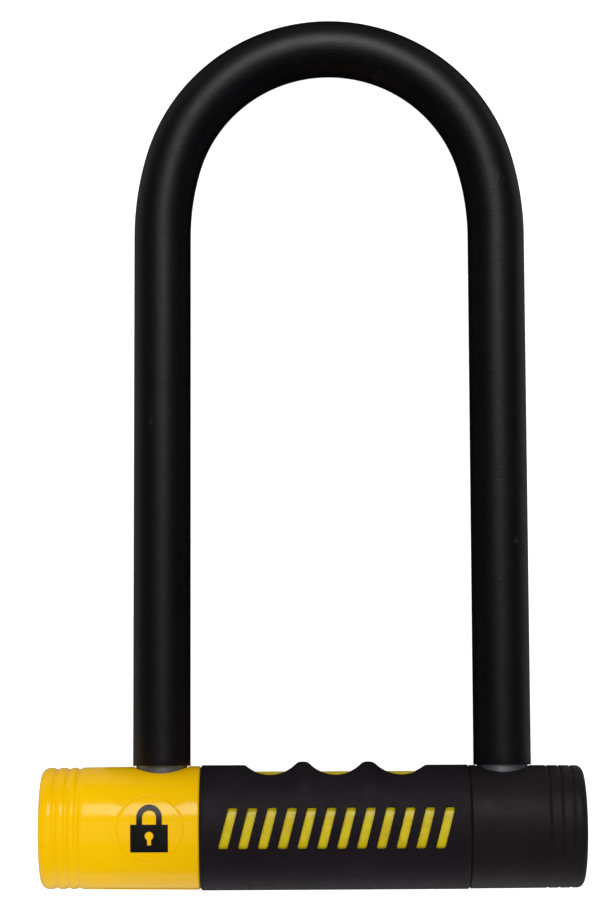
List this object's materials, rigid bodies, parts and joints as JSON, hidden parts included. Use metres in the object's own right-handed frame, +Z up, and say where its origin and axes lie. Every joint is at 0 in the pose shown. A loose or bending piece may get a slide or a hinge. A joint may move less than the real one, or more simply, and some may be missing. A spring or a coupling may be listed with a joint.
{
  "type": "u lock",
  "caption": "Closed U-lock: a vinyl-coated steel shackle whose feet sit in a round crossbar with a disc cylinder, rubber grip sleeve and end caps. The shackle lifts off and the core turns.",
  "frame": {"origin": "centre of the bounding box's base, under the middle of the whole lock as it lies flat on its back", "axes": "+X along the crossbar away from the key cylinder, +Y along the shackle legs from the crossbar to the bend, +Z up, out of the face with the grip windows"},
  "size_m": [0.1904, 0.3126, 0.0438],
  "materials": {
    "tube_steel": "hardened, dark",
    "yellow_plastic": "moulded, satin gloss",
    "black_plastic": "moulded, fine grain",
    "cover_yellow": "moulded, satin",
    "grip_rubber": "soft, matt",
    "badge_black": "satin inlay",
    "seal_rubber": "matt",
    "machined_steel": "turned, light oil",
    "dark_steel": "hardened, blackened",
    "spring_steel": "spring steel",
    "nylon": "natural nylon",
    "brass": "machined",
    "shackle_steel": "plated, bright",
    "vinyl": "dipped vinyl, soft gloss"
  },
  "bodies": {
    "crossbar": {"crossbar_tube": "tube_steel", "left_end_cap": "yellow_plastic", "right_end_cap": "black_plastic", "inner_cover": "cover_yellow", "grip_sleeve": "grip_rubber", "badge_mark": "badge_black", "left_leg_seal": "seal_rubber", "right_leg_seal": "seal_rubber", "left_foot_guide": "machined_steel", "right_foot_guide": "machined_steel", "left_foot_pad": "seal_rubber", "right_foot_pad": "seal_rubber", "spacer_tube": "machined_steel", "shaft_support": "nylon", "end_plug": "tube_steel", "plug_pin": "dark_steel", "housing_pins": "dark_steel", "guide_pins": "dark_steel", "cylinder_housing": "machined_steel", "keyway_seal": "seal_rubber", "shutter_pivot": "machined_steel"},
    "shackle": {"shackle_bar": "shackle_steel", "shackle_coating": "vinyl"},
    "lock_core": {"cylinder_core": "brass", "lock_discs": "brass", "disc_spacers": "machined_steel", "sidebar": "machined_steel", "drill_guard": "dark_steel", "tail_driver": "machined_steel", "core_circlip": "spring_steel"},
    "locking_rod": {"locking_shaft": "machined_steel", "shaft_washers": "machined_steel", "shaft_circlips": "spring_steel"},
    "shutter": {"keyhole_shutter": "black_plastic"}
  },
  "joints": [
    {"name": "shackle_slide", "type": "slide", "parent": "crossbar", "child": "shackle", "axis": [0, 1, 0], "range_m": [0, 0.06]},
    {"name": "core_turn", "type": "hinge", "parent": "crossbar", "child": "lock_core", "pos_m": [-0.079, -0.1344, 0.0219], "axis": [-1, 0, 0], "range_deg": [0, 90]},
    {"name": "locking_shaft_turn", "type": "hinge", "parent": "crossbar", "child": "locking_rod", "pos_m": [0.007, -0.1344, 0.0219], "axis": [-1, 0, 0], "range_deg": [0, 90]},
    {"name": "shutter_swing", "type": "hinge", "parent": "crossbar", "child": "shutter", "pos_m": [-0.0942, -0.1444, 0.0219], "axis": [1, 0, 0], "range_deg": [0, 65]}
  ],
  "couplings": [
    {"joint": "locking_shaft_turn", "follows": "core_turn", "ratio": 1}
  ]
}
